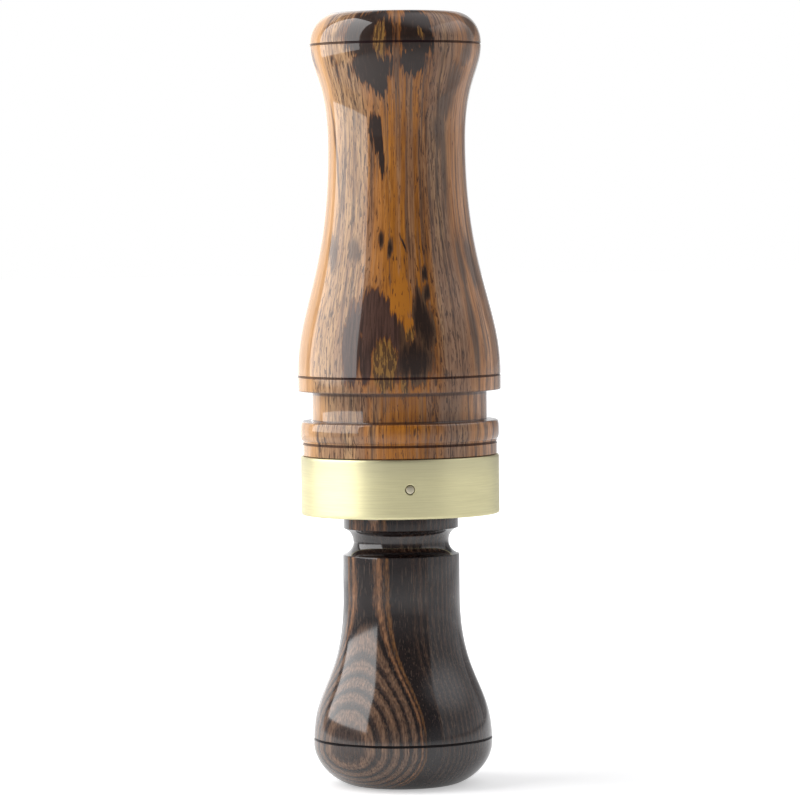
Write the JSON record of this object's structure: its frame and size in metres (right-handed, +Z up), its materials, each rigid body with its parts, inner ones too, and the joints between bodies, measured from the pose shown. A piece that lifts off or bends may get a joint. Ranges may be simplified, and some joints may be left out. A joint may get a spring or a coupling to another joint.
{
  "type": "duck call",
  "caption": "Turned wooden duck call: flared barrel with a brass band over an insert that carries a tone board, reeds, cork wedge and O-ring seals.",
  "frame": {"origin": "centre of the flat foot round the exhaust bore, which the call stands on in the picture", "axes": "+Z up along the call's axis, from the bell to the mouthpiece; -Y is the front, where the reeds and the band's pin face; +X completes the right-handed frame"},
  "size_m": [0.0358, 0.0358, 0.1358],
  "materials": {
    "figured_wood": "golden brown wood with black figure under a glossy lacquer",
    "dark_wood": "very dark wood with brown streaks under a glossy lacquer",
    "brushed_brass": "satin, brushed round the ring",
    "pin_brass": "filed flush, satin",
    "black_plastic": "moulded, satin",
    "reed_film": "milky polyester film",
    "cork": "sliced cork",
    "seal_rubber": "smooth, slightly greased"
  },
  "bodies": {
    "insert": {"insert": "dark_wood", "tone_board": "black_plastic", "reed_wedge": "cork"},
    "seal_rings": {"lower_o_ring": "seal_rubber", "upper_o_ring": "seal_rubber"},
    "barrel": {"barrel": "figured_wood", "band": "brushed_brass", "band_pin": "pin_brass"},
    "lower_reed": {"lower_reed": "reed_film"},
    "upper_reed": {"upper_reed": "reed_film"}
  },
  "joints": [
    {"name": "barrel_twist", "type": "hinge", "parent": "insert", "child": "seal_rings", "pos_m": [0, 0, 0.0564], "axis": [0, 0, 1], "continuous": true},
    {"name": "barrel_pull", "type": "slide", "parent": "seal_rings", "child": "barrel", "axis": [0, 0, 1], "range_m": [0, 0.072]},
    {"name": "lower_reed_flex", "type": "hinge", "parent": "insert", "child": "lower_reed", "pos_m": [0, -0.003, 0.07585], "axis": [1, 0, 0], "range_deg": [-1.6, 1.6], "stiffness_Nm_per_rad": 0.0045, "deforming": ["lower_reed"]},
    {"name": "upper_reed_flex", "type": "hinge", "parent": "insert", "child": "upper_reed", "pos_m": [0, -0.003, 0.07585], "axis": [1, 0, 0], "range_deg": [-1.6, 1.6], "stiffness_Nm_per_rad": 0.0045, "deforming": ["upper_reed"]}
  ],
  "couplings": [
    {"joint": "upper_reed_flex", "follows": "lower_reed_flex", "ratio": 1}
  ]
}
